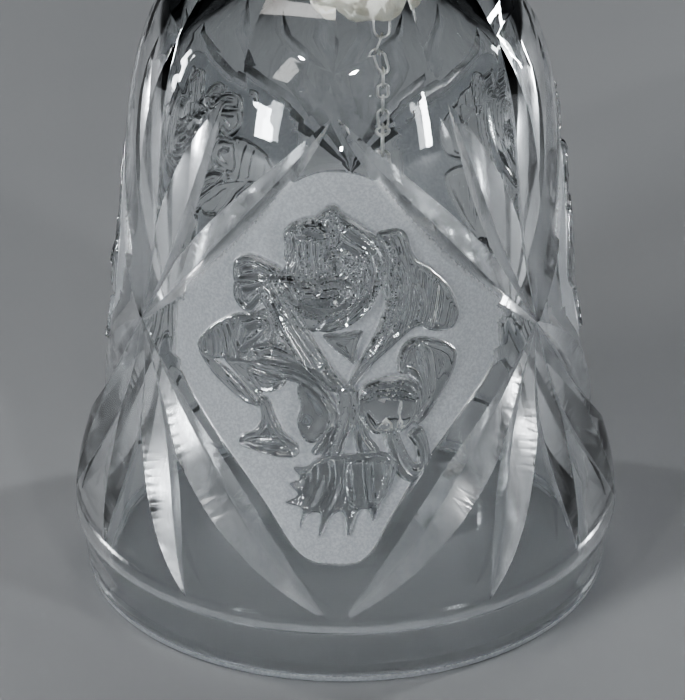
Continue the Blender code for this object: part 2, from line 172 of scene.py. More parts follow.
RIGHT_SWEEP = ((6.2, 67.5), (7.6, 63.6), (7.6, 58.4), (6.6, 53.4), (4.4, 48.9), (1.4, 44.4))
LEFT_SWEEP = ((-8.2, 61.2), (-6.4, 57.4), (-4.2, 53.0), (-1.4, 48.2), (2.4, 43.4))
ROSE = (
    # outer petals on the right, sweeping down to the calyx
    shape(((5.5, 66.7), (7.0, 67.2), (8.6, 67.2), (9.8, 66.2), (10.4, 64.1), (11.4, 62.1), (13.5, 60.3),
           (15.7, 57.7), (17.1, 54.9), (17.6, 52.8), (16.8, 51.1), (15.1, 50.8), (12.9, 51.4),
           (11.4, 52.2), (9.7, 51.4), (7.7, 49.7), (5.7, 48.0), (4.0, 46.0), (2.3, 44.3), (1.6, 44.6),
           (2.9, 47.3), (5.1, 49.9), (6.4, 53.2), (6.6, 56.6), (6.4, 60.2), (6.5, 63.7)), 0.5, 0.16,
           0.11, 1.9, RIGHT_SWEEP),
    shape(((8.8, 63.6), (10.2, 60.7), (12.0, 57.7), (12.7, 55.1), (12.2, 53.1), (10.5, 52.3),
           (8.5, 50.9), (6.5, 49.1), (4.6, 47.1), (2.6, 44.6), (2.0, 44.9), (4.0, 48.1), (6.2, 50.9),
           (7.7, 54.3), (8.2, 57.6), (7.9, 61.1)), 0.66, 0.16, 0.15, 1.45, RIGHT_SWEEP),
    shape(((5.9, 66.7), (7.3, 66.1), (8.3, 64.1), (8.6, 61.3), (9.3, 58.2), (9.0, 55.1), (7.9, 52.2),
           (6.1, 49.8), (3.8, 47.3), (2.2, 44.8), (1.9, 45.5), (3.3, 48.5), (5.0, 51.5), (6.3, 54.7),
           (6.9, 57.8), (6.8, 60.9), (7.0, 63.3), (6.5, 65.2)), 0.86, 0.16, 0.17, 1.25, RIGHT_SWEEP),
    # small folded petals on the left
    shape(((-14.1, 58.4), (-12.2, 59.3), (-10.3, 60.0), (-8.5, 59.4), (-8.3, 57.5), (-9.8, 55.8),
           (-11.3, 54.1), (-13.1, 54.2), (-14.4, 55.9)), 0.6, 0.14, 0.13, 1.15),
    shape(((-14.4, 59.6), (-14.1, 61.2), (-12.5, 62.4), (-10.7, 62.6), (-8.9, 62.0), (-7.4, 61.3),
           (-6.9, 59.6), (-8.2, 58.6), (-10.3, 58.9), (-12.5, 58.3), (-14.1, 58.1)), 0.78, 0.16, 0.13,
           1.1),
    # left leaf: its plain underside, then its fluted upper side
    shape(((-20.3, 46.3), (-17.9, 45.9), (-15.3, 44.9), (-12.7, 43.1), (-10.3, 40.7), (-12.2, 40.4),
           (-15.2, 41.8), (-18.3, 43.9)), 0.5, 0.2, crown=0.35),
    shape(((-20.5, 46.9), (-18.7, 49.7), (-16.3, 51.9), (-13.7, 53.5), (-11.5, 54.0), (-9.4, 55.1),
           (-7.7, 54.0), (-7.1, 51.8), (-8.3, 49.6), (-10.6, 48.0), (-13.0, 46.6), (-15.6, 46.2),
           (-18.3, 45.7)), 0.7, 0.15, 0.15, 1.25, ((-19.6, 53.0), (-17.4, 49.4), (-17.0, 45.0))),
    shape(((-13.6, 53.0), (-12.4, 53.7), (-10.9, 54.4), (-9.1, 54.1), (-8.3, 52.0), (-9.8, 49.8),
           (-12.1, 48.0), (-13.6, 47.8), (-14.4, 49.5)), 0.92, 0.15, 0.15, 1.2),
    # long leaf that curls down on the left of the stem
    shape(((-15.9, 46.3), (-13.0, 47.2), (-10.0, 47.3), (-6.7, 46.9), (-4.2, 46.2), (-1.9, 44.7),
           (-0.3, 42.5), (0.5, 40.3), (0.0, 37.6), (-1.3, 35.2), (-2.7, 34.2), (-3.3, 34.9),
           (-2.0, 37.0), (-1.4, 39.1), (-1.7, 41.2), (-3.2, 43.3), (-5.3, 44.6), (-7.9, 44.7),
           (-9.7, 43.3), (-10.5, 41.7), (-12.1, 42.9), (-14.0, 44.5)), 0.62, 0.2, crown=0.3),
    shape(((-12.4, 45.9), (-9.7, 45.9), (-6.7, 45.4), (-7.0, 44.0), (-8.5, 42.9), (-10.6, 42.9)), 0.8,
           0.16),
    shape(((-5.3, 43.6), (-4.4, 45.1), (-2.7, 44.0), (-1.0, 41.8), (-0.4, 39.7), (-1.3, 37.5),
           (-3.0, 36.0), (-4.5, 36.6), (-5.3, 38.8), (-4.8, 41.2)), 0.75, 0.1, crown=0.55),
    shape(((-11.9, 48.8), (-10.3, 50.1), (-8.2, 50.6), (-5.9, 49.9), (-3.9, 48.6), (-1.9, 47.2),
           (0.0, 45.3), (1.1, 43.7), (-0.8, 43.7), (-3.0, 45.3), (-5.3, 46.4), (-7.6, 46.8),
           (-10.2, 46.9)), 0.82, 0.18, 0.17, 1.3),
    # folds running down the left to the calyx
    shape(((-8.6, 60.3), (-7.2, 60.1), (-6.0, 57.7), (-4.9, 54.7), (-3.0, 51.6), (-1.0, 48.2),
           (0.8, 45.3), (2.2, 43.7), (0.9, 42.8), (-1.5, 44.6), (-3.9, 47.2), (-6.2, 50.0),
           (-8.0, 52.8), (-9.7, 55.5), (-10.4, 57.2), (-9.7, 59.0)), 0.8, 0.16, 0.19, 1.3, LEFT_SWEEP),
    shape(((-8.2, 58.0), (-6.7, 55.5), (-4.6, 52.1), (-2.4, 48.9), (-0.4, 46.2), (1.2, 44.1),
           (0.1, 43.7), (-2.3, 45.5), (-4.6, 47.7), (-7.0, 50.8), (-8.4, 53.6), (-9.2, 55.8)), 1.05,
           0.14, 0.17, 1.3, LEFT_SWEEP),
    # foot of the stem on the left
    shape(((-10.7, 41.8), (-9.1, 41.8), (-8.2, 39.5), (-6.8, 37.1), (-5.0, 35.5), (-5.3, 33.9),
           (-7.8, 33.5), (-10.8, 33.8), (-13.6, 34.3), (-13.1, 35.9), (-11.3, 37.0), (-10.3, 38.9)),
           0.55, 0.24, crown=0.3),
    shape(((-12.4, 34.9), (-10.5, 36.0), (-7.8, 36.4), (-6.3, 35.1), (-6.6, 34.4), (-9.3, 34.2)), 0.3,
           0.2),
    # stems
    shape(((2.0, 44.2), (3.0, 43.5), (3.7, 40.6), (4.5, 37.3), (6.0, 35.0), (5.2, 34.2), (2.9, 34.6),
           (2.3, 38.2), (2.0, 41.2)), 0.5, 0.2),
    shape(((0.2, 44.4), (2.4, 44.5), (3.0, 42.1), (2.5, 39.1), (1.5, 36.5), (0.5, 34.2), (-2.0, 33.9),
           (-0.9, 36.7), (0.1, 39.7), (0.2, 42.1)), 0.95, 0.12, 0.12, 1.3, ((0.0, 44.6), (0.4, 41.0),
           (-1.6, 34.0)), 0.3),
    # leaf on the right, and the fold along its inner edge
    shape(((10.6, 50.5), (12.9, 50.4), (15.7, 49.0), (17.2, 47.2), (16.8, 44.8), (15.5, 42.6),
           (14.0, 40.5), (12.4, 38.6), (10.9, 37.9), (11.2, 40.2), (12.5, 42.3), (12.4, 45.0),
           (12.0, 47.9)), 0.55, 0.2, 0.12, 1.7),
    shape(((8.3, 47.8), (9.0, 49.7), (10.3, 50.7), (11.6, 49.9), (12.2, 47.6), (12.7, 44.5),
           (12.9, 42.3), (12.0, 40.1), (10.9, 38.2), (10.2, 39.4), (11.0, 41.4), (11.0, 43.8),
           (9.9, 45.4), (8.6, 45.9)), 0.85, 0.2, 0.14, 1.3),
    # rounded bud on the right
    shape(((2.8, 42.4), (3.3, 44.2), (4.9, 45.3), (7.0, 45.7), (9.3, 45.4), (10.8, 44.3), (11.6, 42.2),
           (11.4, 40.2), (10.4, 38.3), (8.7, 37.3), (6.9, 37.3), (4.9, 37.5), (3.7, 39.0), (2.9, 40.9)),
           1.0, 0.2, crown=0.75),
    shape(((3.3, 43.0), (4.4, 44.5), (6.3, 45.0), (8.8, 44.7), (10.4, 43.6), (10.8, 41.9), (8.8, 42.6),
           (6.3, 43.2), (4.3, 42.7)), 1.5, 0.16, 0.1, 1.0),
    # curled stalk under the bud
    shape(((7.2, 37.9), (8.3, 37.9), (9.2, 35.6), (10.2, 33.4), (11.0, 32.4), (11.2, 33.4),
           (10.8, 35.0), (9.8, 36.9), (11.7, 37.7), (12.9, 34.9), (13.0, 32.0), (11.6, 29.8),
           (9.3, 30.2), (7.7, 32.4), (7.0, 34.7), (6.5, 36.6)), 0.8, 0.2, 0.1, 1.1),
    # serrated leaf under the stem, its right half lifted
    shape(((-2.4, 34.0), (0.1, 34.6), (3.5, 34.7), (6.3, 34.7), (7.9, 33.6), (8.2, 31.4), (7.3, 28.9),
           (6.3, 27.6), (5.1, 24.9), (4.3, 26.7), (3.0, 26.3), (1.7, 22.9), (1.1, 26.1), (-0.3, 25.9),
           (-2.3, 22.7), (-2.1, 25.9), (-3.7, 25.8), (-5.0, 23.6), (-4.7, 26.6), (-6.9, 27.2),
           (-5.2, 28.5), (-6.3, 29.9), (-4.9, 30.8), (-5.8, 32.3), (-3.8, 32.7)), 0.62, 0.15, 0.13, 1.5,
           ((-3.0, 34.6), (-2.6, 31.0), (-5.0, 25.0))),
    shape(((1.6, 33.9), (4.1, 34.2), (6.6, 34.0), (7.5, 32.7), (6.7, 29.2), (5.5, 27.1), (3.6, 26.7),
           (2.2, 27.0), (1.3, 29.4)), 0.95, 0.18, 0.2, 1.8, ((1.6, 34.6), (2.0, 30.0), (2.4, 26.0))),
    # small clear triangle under the bloom
    shape(((-1.7, 51.9), (0.9, 52.3), (3.7, 52.5), (3.2, 50.3), (2.6, 47.7), (1.2, 48.6), (-0.5, 50.1)),
           0.5, 0.2, crown=0.4),
    # the bloom, from its back petals to the folds in front
    shape(((-6.9, 66.9), (-5.7, 68.3), (-4.5, 68.7), (-3.4, 69.3), (-2.0, 69.5), (-0.9, 71.0),
           (0.3, 71.0), (1.2, 69.8), (3.2, 68.2), (5.3, 66.8), (6.4, 64.8), (6.9, 62.4), (6.7, 60.0),
           (6.0, 57.7), (4.8, 55.6), (3.1, 54.0), (1.2, 53.1), (-0.8, 52.4), (-2.8, 52.6), (-4.6, 53.9),
           (-5.8, 56.4), (-7.0, 58.1), (-7.9, 59.8), (-6.9, 61.5), (-6.6, 63.4), (-6.9, 64.9)), 0.7,
           0.2, 0.12, 1.3),
    shape(((-6.9, 66.6), (-5.8, 68.1), (-4.6, 67.8), (-4.0, 65.5), (-4.8, 63.4), (-5.9, 61.7),
           (-6.9, 63.0), (-6.8, 64.9)), 0.95, 0.15, 0.14, 1.1),
    shape(((-2.7, 68.7), (-1.7, 70.2), (-0.4, 71.1), (0.7, 70.3), (1.4, 68.2), (1.0, 65.6),
           (-0.5, 64.6), (-2.1, 65.7)), 0.9, 0.14, 0.15, 1.15, ((0.2, 71.6), (-0.4, 68.0),
           (-0.4, 64.6))),
    shape(((-5.0, 66.4), (-3.1, 67.0), (-1.5, 66.2), (-1.1, 63.5), (-1.5, 60.9), (-2.8, 60.0),
           (-4.4, 61.3), (-5.1, 63.6)), 1.05, 0.15, 0.17, 1.2, ((-3.9, 67.4), (-3.8, 63.4),
           (-3.0, 60.0))),
    shape(((-5.0, 68.4), (-3.7, 69.2), (-2.0, 69.1), (0.2, 67.4), (-1.4, 66.3), (-3.1, 66.6),
           (-4.4, 67.2)), 1.2, 0.24, 0.1, 1.0),
    shape(((0.7, 65.7), (2.8, 64.8), (4.3, 62.8), (4.7, 60.4), (4.2, 58.1), (2.7, 57.2), (2.5, 59.3),
           (1.3, 61.1), (0.5, 63.3)), 1.0, 0.15, 0.18, 1.15, ((0.2, 66.2), (2.6, 62.8), (3.0, 57.0))),
    shape(((0.3, 70.2), (2.0, 69.4), (3.9, 68.0), (5.7, 66.4), (6.7, 64.4), (7.0, 62.1), (6.6, 59.6),
           (5.6, 57.4), (4.2, 55.4), (3.2, 55.3), (4.3, 57.6), (5.0, 59.8), (5.2, 61.9), (4.6, 63.7),
           (3.2, 65.2), (1.5, 66.7), (0.4, 68.1)), 1.2, 0.16, 0.18, 1.15),
    shape(((-1.6, 63.9), (0.0, 65.1), (1.5, 64.0), (2.2, 62.1), (1.2, 60.3), (-0.4, 60.3),
           (-1.6, 61.6)), 1.3, 0.18, 0.12, 1.0),
    shape(((-0.6, 63.0), (0.3, 64.0), (1.3, 62.9), (1.0, 61.4), (-0.2, 61.2)), 1.6, 0.1, crown=0.4),
    shape(((-8.0, 60.2), (-6.2, 60.8), (-4.2, 60.4), (-2.2, 60.7), (-0.3, 61.3), (1.5, 60.8),
           (2.9, 59.4), (2.8, 57.3), (1.3, 55.8), (-1.1, 54.9), (-3.4, 55.1), (-5.4, 56.1),
           (-6.8, 57.7)), 1.25, 0.2, 0.19, 1.25),
    shape(((-5.6, 59.6), (-3.6, 59.8), (-1.7, 60.0), (0.3, 60.4), (1.8, 59.4), (1.7, 57.8), (0.3, 56.7),
           (-1.9, 56.4), (-3.9, 56.8), (-5.3, 57.9)), 1.5, 0.18, 0.12, 1.1),
    shape(((-5.1, 59.5), (-3.4, 59.9), (-1.5, 59.3), (-2.4, 57.9), (-4.2, 57.9)), 1.75, 0.14),
    shape(((-5.8, 56.5), (-3.9, 55.8), (-2.2, 55.3), (-1.1, 54.4), (-2.3, 52.6), (-3.9, 53.0),
           (-5.0, 54.5)), 1.15, 0.2, crown=0.3),
    shape(((-1.4, 52.6), (0.7, 54.5), (2.6, 56.5), (4.3, 58.1), (5.1, 57.6), (4.4, 55.7), (2.9, 54.1),
           (0.9, 53.0)), 1.15, 0.24),
)
FIELD = ((-5.6, 73.9), (-2.6, 75.4), (0.4, 75.7), (3.2, 75.2), (6.0, 73.9), (9.6, 71.0),
         (13.2, 67.0), (17.1, 62.4), (21.1, 57.6), (24.2, 53.2), (25.0, 49.8), (24.2, 45.6),
         (22.4, 42.6), (19.5, 39.8), (16.9, 37.2), (14.0, 34.0), (11.0, 30.6), (8.9, 27.2),
         (6.9, 24.2), (5.4, 21.4), (3.6, 19.6), (1.8, 19.2), (-0.6, 19.2), (-3.0, 19.4),
         (-5.2, 20.6), (-7.2, 23.0), (-9.4, 26.2), (-12.2, 29.6), (-15.3, 33.0), (-18.6, 36.6),
         (-21.4, 39.6), (-24.0, 43.0), (-25.0, 47.0), (-24.2, 51.4), (-21.8, 55.4), (-18.4, 59.6),
         (-14.6, 64.2), (-11.4, 68.4), (-8.4, 71.8))
FINE_FIELD = smooth_line(FIELD, True, 3)


def shape_rise(item, line, s, z):
    """(height of one shape, depth inside its outline) at each place."""
    deep = depth_inside(line, s, z)
    rise = item["rise"] * (0.7 + 0.3 * ramp(deep, 0.0, 0.5))
    rise = rise + item["crown"] * (1 - np.exp(-np.maximum(deep, 0) / 1.6))
    rise = rise + item["lip"] * np.exp(-(((deep - 0.45) / 0.26) ** 2)) - 0.1
    if item["flute"]:
        way = deep
        if item["guide"]:
            way = distance_to(smooth_line(item["guide"], False), s, z, False)
        wave = np.cos(2 * math.pi * (way - 0.45) / (FLUTE_SPREAD * item["pitch"]))
        rise = rise + FLUTE_GAIN * item["flute"] * (wave - 0.4) * ramp(deep, 0.2, 0.9)
    return rise, deep


def relief(s, z):
    """(height off the wall, share of frost) at each place on a panel."""
    height = np.zeros(s.shape)
    cover = np.zeros(s.shape)
    for item in ROSE:
        line = smooth_line(item["outline"], True)
        low, high = line.min(0) - 0.5, line.max(0) + 0.5
        near = (s > low[0]) & (s < high[0]) & (z > low[1]) & (z < high[1])
        if not near.any():
            continue
        rise, deep = shape_rise(item, line, s[near], z[near])
        mask = ramp(deep, -0.12, 0.2)
        height[near] = height[near] * (1 - mask) + rise * mask
        cover[near] = np.maximum(cover[near], ramp(deep, -0.06, 0.16))
    edge = depth_inside(FINE_FIELD, s, z)
    field = ramp(edge, -0.1, 0.15)
    height = height * (MIDDLE_GAIN - SIDE_LOSS * ramp(np.abs(s), FADE_FROM, FADE_TO))
    height = height * ramp(edge, -0.4, 0.0) - FIELD_SUNK * field * (1 - cover)
    return height, field * (1 - cover)


# ---------------------------------------------------------------- meshes
def mesh_object(name, points, faces, smooth=True):
    """An object from points in millimetres and rows of corner numbers."""
    mesh = bpy.data.meshes.new(name)
    mesh.from_pydata((np.asarray(points, float) * MM).tolist(), [], faces)
    mesh.polygons.foreach_set("use_smooth", [smooth] * len(mesh.polygons))
    mesh.update()
    made = bpy.data.objects.new(name, mesh)
    bpy.context.scene.collection.objects.link(made)
    return made


def azimuths():
    """Column directions round the bell, fine over each panel."""
    fine = np.arange(-FINE_DEG, FINE_DEG + 1e-6, FINE_STEP)
    rest = PANEL_DEG - 2 * FINE_DEG
    steps = math.ceil(rest / COARSE_STEP)
    coarse = FINE_DEG + np.arange(1, steps) * rest / steps
    one = np.concatenate([fine, coarse])
    return np.concatenate([one + k * PANEL_DEG for k in range(PANELS)])


def outer_heights():
    """Row heights up the outside, close together at the ridge and over the relief."""
    low, high = RELIEF_Z
    band = [0.9, 1.8, 2.8, 4.0, 5.2, 6.4]
    ridge = RIDGE_Z + np.array([-1.7, -1.3, -0.9, -0.5, -0.25, 0, 0.3, 0.6])
    below = np.concatenate([band, ridge, np.arange(RIDGE_Z + 1.4, low, 1.0)])
    fine = np.arange(low, high, RELIEF_STEP)
    above = np.concatenate([np.arange(high, 100.0, 1.0), [101.0, 101.8, 102.4]])
    return np.concatenate([below, fine, above])


def along_panel(degrees, radius):
    """Place along the wall from the middle of the nearest panel, for azimuths round the bell."""
    panel = (degrees + PANEL_DEG / 2) % PANEL_DEG - PANEL_DEG / 2
    return np.radians(panel) * radius


def wall_radius(z):
    """Outer radius at these heights, kept within the wall's own range."""
    return curve_through(OUTER_WALL, np.clip(z, OUTER_WALL[0][0], OUTER_WALL[-1][0]))


def grid_faces(rows, columns):
    """Quads of a closed ring grid, rows from the top down, facing out."""
    r, c = np.meshgrid(np.arange(rows - 1), np.arange(columns), indexing="ij")
    nxt = (c + 1) % columns
    above, below = r * columns, (r + 1) * columns
    quads = np.stack([above + c, below + c, below + nxt, above + nxt], -1)
    return quads.reshape(-1, 4).tolist()


def lifted_wall(degrees, heights):
    """(radius, height) grids of the outside with the relief raised square to the wall."""
    a, z = np.meshgrid(degrees, heights)
    radius = curve_through(OUTER_WALL, z)
    along = along_panel(a, radius)
    lift = np.zeros(z.shape)
    one = slice(0, len(degrees) // PANELS)
    rows = (heights > RELIEF_Z[0] - 1) & (heights < RELIEF_Z[1] + 1)
    part, _ = relief(along[rows][:, one], z[rows][:, one])
    lift[np.ix_(rows, np.arange(len(degrees)))] = np.tile(part, (1, PANELS))
    slope = (curve_through(OUTER_WALL, z + 0.05) - radius) / 0.05
    slope[z > 102.3] = -2.0
    lean = np.sqrt(1 + slope**2)
    return radius + lift / lean, z - lift * slope / lean


def glass_blank():
    """The whole wall with its relief, before the cuts."""
    degrees = azimuths()
    columns = len(degrees)
    ring, height = lifted_wall(degrees, outer_heights()[::-1])
    inner_z = np.concatenate([np.linspace(0.4, 79.0, 24), np.linspace(80.5, 95.4, 14)])
    inner = list(zip(curve_through(INNER_WALL, inner_z), inner_z))
    tail_r, tail_z = np.array(list(GROUND_RIM) + inner).T
    ring = np.concatenate([ring, np.repeat(tail_r[:, None], columns, 1)])
    height = np.concatenate([height, np.repeat(tail_z[:, None], columns, 1)])
    turn = np.radians(np.repeat(degrees[None], len(ring), 0))
    points = np.stack([ring * np.sin(turn), -ring * np.cos(turn), height], -1).reshape(-1, 3)
    faces = grid_faces(len(ring), columns)
    count = len(points)
    points = np.concatenate([points, [[0, 0, 102.6], [0, 0, INNER_TOP]]])
    last = count - columns
    for c in range(columns):
        n = (c + 1) % columns
        faces.append([count, c, n])
        faces.append([count + 1, last + n, last + c])
    return mesh_object("bell_crystal", points, faces)


def on_wall(azimuth_deg, height):
    """(place, outward normal) on the plain outer wall."""
    step = 0.05
    r = float(curve_through(OUTER_WALL, height))
    lean = (float(curve_through(OUTER_WALL, height + step)) - r) / step
    azimuth = math.radians(azimuth_deg)
    out = Vector((math.sin(azimuth), -math.cos(azimuth), 0))
    return out * r + Vector((0, 0, height)), (out - Vector((0, 0, lean))).normalized()


def spindle_faces(count):
    """Faces of a four-sided spindle: a point, rings of four, and a point."""
    last = count - 1
    faces = [(0, 1 + (side + 1) % 4, 1 + side) for side in range(4)]
    for ring in range(1, last - 4, 4):
        for side in range(4):
            near, far = ring + side, ring + (side + 1) % 4
            faces.append((near, far, far + 4))
            faces.append((near, far + 4, near + 4))
    faces += [(last, last - 4 + side, last - 4 + (side + 1) % 4) for side in range(4)]
    return faces


def mitre_cutter(name, start, end, width, depth):
    """A V-shaped spindle that follows the wall from one (azimuth, height) to another."""
    points = []
    for i in range(CUT_STATIONS + 1):
        t = i / CUT_STATIONS
        way = t * (1 + STAR_OVERLAP) - STAR_OVERLAP
        azimuth = start[0] + (end[0] - start[0]) * way
        height = start[1] + (end[1] - start[1]) * way
        spot, normal = on_wall(azimuth, height)
        if i in (0, CUT_STATIONS):
            points.append(spot)
            continue
        ahead, _ = on_wall(azimuth + (end[0] - start[0]) * 0.01,
                           height + (end[1] - start[1]) * 0.01)
        across = normal.cross(ahead - spot).normalized()
        swell = math.sin(math.pi * t) ** 0.9
        deep = depth * swell
        half = 0.5 * width * swell * (1 + CUT_REACH)
        points.append(spot - normal * deep)
        points.append(spot + across * half + normal * deep * CUT_REACH)
        points.append(spot + normal * (deep * CUT_REACH + 1.0))
        points.append(spot - across * half + normal * deep * CUT_REACH)
    return mesh_object(name, [tuple(p) for p in points], spindle_faces(len(points)), False)


def lathe(name, profile, sides, twist=0.0):
    """A solid of revolution with flat sides, from (radius, height) points, top to bottom."""
    inner = [p for p in profile if p[0] > 0]
    turn = np.radians(np.arange(sides) * 360 / sides + twist)
    points = [(r * math.sin(t), -r * math.cos(t), z) for r, z in inner for t in turn]
    faces = grid_faces(len(inner), sides)
    points += [(0, 0, profile[0][1]), (0, 0, profile[-1][1])]
    last = (len(inner) - 1) * sides
    for c in range(sides):
        n = (c + 1) % sides
        faces.append([len(points) - 2, c, n])
        faces.append([len(points) - 1, last + n, last + c])
    return mesh_object(name, points, faces, False)


def settle(obj):
    """Applies every modifier of an object."""
    graph = bpy.context.evaluated_depsgraph_get()
    mesh = bpy.data.meshes.new_from_object(obj.evaluated_get(graph))
    obj.modifiers.clear()
    obj.data = mesh
    return obj


def combine(target, operation, tools):
    """Joins or cuts with each tool, then removes the tools."""
    for tool in tools:
        step = target.modifiers.new(tool.name, "BOOLEAN")
        step.operation = operation
        step.solver = "MANIFOLD"
        step.object = tool
    settle(target)
    for tool in tools:
        bpy.data.objects.remove(tool, do_unlink=True)


def corner_radii(table, sides):
    """Flat-to-centre radii turned into corner radii."""
    return [(r / math.cos(math.pi / sides), z) for z, r in table]


def crown_cutter():
    """The ring of space outside the crown's flat facets."""
    low, high = CROWN[0][0], CROWN[-1][0]
    ring = lathe("crown_space", [(0, high + 3), (45.0, high + 3), (45.0, low), (0, low)], 48)
    inside_points = corner_radii(CROWN, CROWN_SIDES)[::-1]
    profile = [(0, high + 0.001)] + inside_points + [(inside_points[-1][0], low - 4), (0, low - 4)]
    core = lathe("crown_core", profile, CROWN_SIDES)
    combine(ring, "DIFFERENCE", [core])
    return ring


def bell_crystal():
    """The finished glass: wall and relief, crown facets, star cuts and handle."""
    body = glass_blank()
    combine(body, "DIFFERENCE", [crown_cutter()])
    tools = []
    for k in range(PANELS):
        star = k * PANEL_DEG + STAR_DEG
        for i, (off, tip, width, depth) in enumerate(CUTS):
            start, end = (star, STAR_Z), (star + off, tip)
            tools.append(mitre_cutter(f"cut_{k}_{i}", start, end, width, depth))
    combine(body, "DIFFERENCE", tools)
    profile = [(0, HANDLE[-1][0])] + [(r, z) for z, r in HANDLE[::-1]] + [(0, HANDLE[0][0])]
    combine(body, "UNION", [lathe("handle", profile, HANDLE_SIDES)])
    return body


def frost_of(radius, wall, along, z):
    """(share of frost at each point, which points lie on a panel's surface)."""
    frost = np.zeros(len(z))
    near = (np.abs(radius - wall) < 1.0) & (z > RELIEF_Z[0] - 0.5) & (z < RELIEF_Z[1] + 0.5)
    near &= (np.abs(along) < 27) & (radius > wall - 0.6)
    _, frost[near] = relief(along[near], z[near])
    frost[(z < 0.95) & (radius > 33.9)] = 1.0  # the ground rim
    frost[(z > 8.5) & (z < 9.8) & (radius > 36.9)] = 0.5  # the ridge, frosted half way: a painted highlight standing in for the bright line of light along it
    return frost, near


def shade_crystal(body):
    """Frost as a point attribute, and crisp edges on the cuts only."""
    mesh = body.data
    co = np.zeros(len(mesh.vertices) * 3, np.float32)
    mesh.vertices.foreach_get("co", co)
    x, y, z = (co.reshape(-1, 3) / MM).T
    wall = wall_radius(z)
    along = along_panel(np.degrees(np.arctan2(x, -y)), wall)
    frost, near = frost_of(np.hypot(x, y), wall, along, z)
    layer = mesh.attributes.new("frost", "FLOAT", "POINT")
    layer.data.foreach_set("value", frost.astype(np.float32))
    mesh.shade_smooth()
    mesh.set_sharp_from_angle(angle=FACET_ANGLE)
    edges = np.zeros(len(mesh.edges) * 2, np.int32)
    mesh.edges.foreach_get("vertices", edges)
    ends = edges.reshape(-1, 2)
    soft = np.zeros(len(x), bool)
    soft[near] = depth_inside(FINE_FIELD, along[near], z[near]) > 0.05
    sharp = mesh.attributes.get("sharp_edge")
    flags = np.zeros(len(mesh.edges), bool)
    sharp.data.foreach_get("value", flags)
    flags &= ~(soft[ends[:, 0]] & soft[ends[:, 1]])
    sharp.data.foreach_set("value", flags)


def mark_cuts(body):
    """A face attribute that is 1 on the mitre facets, which the wheel leaves a little hazy."""
    mesh = body.data
    count = len(mesh.polygons)
    middle = np.zeros(count * 3, np.float32)
    facing = np.zeros(count * 3, np.float32)
    mesh.polygons.foreach_get("center", middle)
    mesh.polygons.foreach_get("normal", facing)
    x, y, z = (middle.reshape(-1, 3) / MM).T
    nx, ny, _ = facing.reshape(-1, 3).T
    radius = np.hypot(x, y)
    outward = (nx * x + ny * y) / np.maximum(radius, 1e-6) > 0.1
    wall = wall_radius(z)
    sunk = wall - radius
    cut = (sunk > 0.04) & (sunk < 2.2) & outward & (z > 10.0) & (z < CROWN[0][0])
    along = along_panel(np.degrees(np.arctan2(x, -y)), wall)
    edge = depth_inside(FINE_FIELD, along[cut], z[cut])
    value = np.zeros(count, np.float32)
    value[np.flatnonzero(cut)[edge < 0.3]] = 1.0
    layer = mesh.attributes.new("cut", "FLOAT", "FACE")
    layer.data.foreach_set("value", value)


# ---------------------------------------------------------------- small parts, in millimetres
HANG_X = 5.5
HOOK_Z = 84.0
HOOK_WIRE = 0.5
HOOK_HALF_WIDTH = 1.5
HOOK_TOP = 91.5
PLUG_X = 3.4
PLUG_RADIUS = 7.2
PLUG_Z = (86.6, 97.0)
FIT_GAP = 0.15
LINKS = 21
LINK_WIRE = 0.5
LINK_LENGTH = 4.0
LINK_WIDTH = 2.3
LINK_GAP = 0.08
LINK_PITCH = 2.92
CLAPPER_Z = 22.68
EYE_RADIUS = 1.1
PIN_RADIUS = 0.35
BEAD_RADIUS = 5.5
BEAD_BORE = 0.5
CAP_RADIUS = 2.6
CAP_THICK = 0.5
HEAD_RADIUS = 0.9
HEAD_THICK = 0.4
WIRE_SIDES = 14


def arc(radius, centre_z, start_deg, end_deg, count):
    """Points of an arc in the XZ plane, counted from +X towards +Z."""
    angles = np.radians(np.linspace(start_deg, end_deg, count))
    return [(radius * math.cos(a), 0.0, centre_z + radius * math.sin(a)) for a in angles]


def tube(name, path, radius, closed=False, place=(0, 0, 0), quarter=False):
    """A round wire along points of the XZ plane, with rounded ends when open."""
    p = np.array(path, float)
    n = len(p)
    if closed:
        way = np.roll(p, -1, 0) - np.roll(p, 1, 0)
    else:
        way = np.gradient(p, axis=0)
    way /= np.linalg.norm(way, axis=1)[:, None]
    side = np.array([0.0, 1.0, 0.0])
    up = np.cross(way, side)
    turn = np.arange(WIRE_SIDES) * 2 * math.pi / WIRE_SIDES
    ring = np.cos(turn)[None, :, None] * side + np.sin(turn)[None, :, None] * up[:, None]
    points = (p[:, None] + radius * ring).reshape(-1, 3)
    faces = []
    rows = n if closed else n - 1
    for r in range(rows):
        for c in range(WIRE_SIDES):
            a, b = r * WIRE_SIDES, (r + 1) % n * WIRE_SIDES
            d = (c + 1) % WIRE_SIDES
            faces.append([a + c, a + d, b + d, b + c])
    if not closed:
        bulge = radius * 0.6
        points = np.concatenate([points, [p[0] - way[0] * bulge], [p[-1] + way[-1] * bulge]])
        for c in range(WIRE_SIDES):
            d = (c + 1) % WIRE_SIDES
            faces.append([n * WIRE_SIDES, d, c])
            faces.append([n * WIRE_SIDES + 1, (n - 1) * WIRE_SIDES + c, (n - 1) * WIRE_SIDES + d])
    if quarter:
        points = np.stack([-points[:, 1], points[:, 0], points[:, 2]], 1)
    return mesh_object(name, points + np.array(place, float), faces)


def turned(name, profile, sides, place):
    """A smooth turned piece from (radius, height) points, outside top to bottom; radius 0 closes it."""
    made = lathe(name, profile, sides)
    made.data.transform(Matrix.Translation(Vector(place) * MM))
    made.data.shade_smooth()
    made.data.set_sharp_from_angle(angle=TURNED_ANGLE)
    return made


